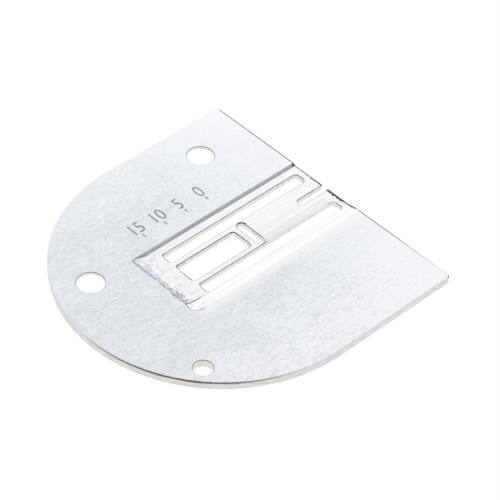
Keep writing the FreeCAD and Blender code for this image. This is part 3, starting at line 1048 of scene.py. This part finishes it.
def ramp_finish(colours, channel):
    """The torn ramp: wide smudges, thin dark squiggles, and a dark band at its rear end."""
    finish, tree, shader, place = steel("torn_ramp", 0.36)
    across, along, _ = position(tree, place)
    end, foot = channel.rear / MM, channel.ramp_foot / MM
    smudges = remap(tree, noise(tree, place, RAMP_SMUDGES, 3.0), 0.42, 0.60)
    smudges = times(tree, smudges, remap(tree, along, foot - 0.5, foot + 1.0))
    mixed = blend(tree, smudges, colours.milled, colours.ramp_dull)
    curls = noise(tree, place, SQUIGGLES, 5.0)
    from_middle = math_node(tree, "ABSOLUTE", math_node(tree, "SUBTRACT", curls, 0.5), 0.0)
    right = remap(tree, across, 3.5, -1.5, 0.30, 1.0)
    squiggles = times(
        tree, remap(tree, from_middle, 0.012, 0.060, 1.0, 0.0),
        times(tree, right, remap(tree, along, foot + 0.2, foot + 1.2)))
    crumple = noise(tree, place, CRUMPLES, 4.0)
    ragged = add_up(tree, (along, 1.0), (crumple, 1.6))
    band = remap(tree, ragged, end + 0.12, end + 0.45, 0.0, 0.85)
    line = channel.bevel_foot / MM - 0.31
    dark = times(tree, larger(tree, squiggles, band),
                 remap(tree, across, line - 0.1, line + 0.1))
    tint(tree, shader, blend(tree, dark, mixed, colours.torn_pale))
    return finish


def make_finishes(colours, channel):
    """Every finish of the plate, by the name that the cutters use."""
    return {
        "plating": plating_finish(colours, channel),
        "milled": milled_finish(colours, channel),
        "ramp": ramp_finish(colours, channel),
        "outer_rim": outer_rim_finish(colours),
        "wall": wall_finish(colours, channel),
        "outer_edge": outer_edge_finish(colours),
        "slot_wall": worn_finish(
            "slot_wall", colours.slot_wall, colours.slot_wall_dark, 0.40, grain=(0.7, 0.7, 2.0)),
        # Painted shade on the rims of the right and rear sides of slots, holes and the notch.
        "dark_rim": worn_finish(
            "dark_rim", colours.torn_pale, colours.torn, 0.35, grain=(1.5, 3.0, 1.5),
            low=0.2, high=0.6),
        "slot_rim": worn_finish(
            "slot_rim", colours.slot_rim, colours.slot_rim_dark, 0.35, grain=(1.5, 1.5, 1.5)),
        "torn": worn_finish(
            "torn_metal", colours.torn, colours.torn_pale, 0.50, grain=(0.15, 0.15, 0.15),
            low=0.50, high=0.90),
        "engraving": worn_finish(
            "engraving", colours.engraving, colours.plating, 0.50, grain=(0.3, 0.3, 0.3),
            low=0.45, high=0.9),
    }


class NEEDLEPLATE_OT_plate(bpy.types.Operator):
    """Model the finished plate from a stamped blank"""
    bl_idname = "needleplate.plate"
    bl_label = "Finished Plate"

    def execute(self, context):
        scene = context.scene
        channel, slots = scene.plate_channel, scene.plate_slots
        finishes = make_finishes(scene.plate_colours, channel)
        plate = model_blank(scene.plate_blank, finishes)
        combine(plate, channel_cutter(channel, finishes))
        combine(plate, facet_cutter(slots, channel, finishes))
        cut_slots(plate, slots, channel, finishes)
        combine(plate, notch_cutter(slots, channel, finishes))
        scribe_lines(plate, channel, slots, finishes)
        scribe_rear_ends(plate, slots, channel, finishes)
        drill_holes(plate, scene.plate_holes, finishes)
        engrave_scale(plate, scene.plate_scale, slots, finishes)
        raise_burrs(plate, channel, slots, finishes)
        shade(plate)
        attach(plate, "root")
        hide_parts(PLATE)
        return {"FINISHED"}


def table_finish(stage):
    """A white table that keeps a faint shadow."""
    finish = bpy.data.materials.new("white_table")
    finish.use_nodes = True
    tree = finish.node_tree
    tree.nodes.remove(tree.nodes["Principled BSDF"])
    matte, faint = (
        add_node(tree, "BsdfDiffuse", {"Color": (white, white, white, 1)}).outputs["BSDF"]
        for white in (stage.table_white, stage.shade))
    own = add_node(tree, "Emission", {"Strength": stage.own_light}).outputs["Emission"]
    seen = add_node(tree, "AddShader", {0: faint, 1: own}).outputs["Shader"]
    ray = add_node(tree, "LightPath").outputs
    straight = larger(tree, ray["Is Camera Ray"], larger(
        tree, ray["Is Glossy Ray"], ray["Is Transmission Ray"]))
    chosen = add_node(tree, "MixShader", {0: straight, 1: matte, 2: seen}).outputs["Shader"]
    tree.links.new(chosen, tree.nodes["Material Output"].inputs["Surface"])
    return finish


def light_room(stage, camera):
    """Soft light all round, strongest halfway up, with a dim room behind the camera."""
    world = bpy.data.worlds.new("studio")
    world.use_nodes = True
    tree = world.node_tree
    background = tree.nodes["Background"]
    background.inputs["Color"].default_value = (1, 1, 1, 1)
    way = add_node(tree, "TexCoord").outputs["Generated"]
    _, _, height = position(tree, way)
    rise = ease(tree, height, 0.42, 0.60, stage.low_light, stage.lamp_light)
    fall = ease(tree, height, 0.62, 0.80, 0.0, stage.lamp_light - stage.high_light)
    bright = math_node(tree, "SUBTRACT", rise, fall)

    middle = Matrix.Rotation(-stage.room_turn, 3, "Z") @ way_to_camera(camera)
    facing = add_node(tree, "VectorMath", {0: way, 1: middle}, operation="DOT_PRODUCT")
    room = ease(
        tree, facing.outputs["Value"], math.cos(stage.room_width), math.cos(stage.room_core))
    light = add_node(
        tree, "Mix", {"Factor": room, 2: bright, 3: stage.room_light}, data_type="FLOAT")
    tree.links.new(light.outputs[0], background.inputs["Strength"])
    bpy.context.scene.world = world


def way_to_camera(settings):
    """The direction from the aim to the camera."""
    return Vector((
        math.sin(settings.azimuth) * math.cos(settings.elevation),
        -math.cos(settings.azimuth) * math.cos(settings.elevation),
        math.sin(settings.elevation)))


def place_camera(settings):
    away = way_to_camera(settings)
    aim = Vector((settings.aim_x, settings.aim_y, HIGH.z))
    clear_selection()
    bpy.ops.object.camera_add(location=aim + away * settings.distance)
    camera = bpy.context.object
    camera.name = "camera"
    level = (-away).to_track_quat("-Z", "Y").to_matrix()
    camera.rotation_euler = (Matrix.Rotation(settings.roll, 3, away) @ level).to_euler()
    camera.data.lens = settings.lens
    camera.data.sensor_width = 36
    camera.data.clip_start = 10 * MM
    camera.data.clip_end = 20
    bpy.context.scene.camera = camera


class NEEDLEPLATE_OT_stage(bpy.types.Operator):
    """Add the white table, the soft studio light and the camera"""
    bl_idname = "needleplate.stage"
    bl_label = "Table, Light and Camera"

    def execute(self, context):
        scene = context.scene
        clear_selection()
        bpy.ops.mesh.primitive_plane_add(size=scene.plate_stage.table_size, location=(0, 0, LOW.z))
        table = bpy.context.object
        table.name = "table"
        table.data.materials.append(table_finish(scene.plate_stage))
        light_room(scene.plate_stage, scene.plate_camera)
        place_camera(scene.plate_camera)
        scene.view_settings.view_transform = "Standard"
        return {"FINISHED"}


class NEEDLEPLATE_PT_sidebar(bpy.types.Panel):
    """Lists the plate's sizes and colours, and the two steps that build it"""
    bl_idname = "NEEDLEPLATE_PT_sidebar"
    bl_label = "Needle Plate"
    bl_space_type = "VIEW_3D"
    bl_region_type = "UI"
    bl_category = "Needle Plate"

    def draw(self, context):
        for name, group in SETTINGS.items():
            box = self.layout.box()
            box.label(text=group.__doc__)
            for setting in group.__annotations__:
                box.prop(getattr(context.scene, name), setting)
        self.layout.operator(NEEDLEPLATE_OT_plate.bl_idname)
        self.layout.operator(NEEDLEPLATE_OT_stage.bl_idname)


CLASSES = (*SETTINGS.values(), NEEDLEPLATE_OT_plate, NEEDLEPLATE_OT_stage, NEEDLEPLATE_PT_sidebar)


def register():
    for item in CLASSES:
        bpy.utils.register_class(item)
    for name, group in SETTINGS.items():
        setattr(bpy.types.Scene, name, bpy.props.PointerProperty(type=group))


def unregister():
    for name in SETTINGS:
        delattr(bpy.types.Scene, name)
    for item in reversed(CLASSES):
        bpy.utils.unregister_class(item)


def main():
    register()
    bpy.ops.needleplate.plate()
    bpy.ops.needleplate.stage()


if __name__ == "__main__":
    main()
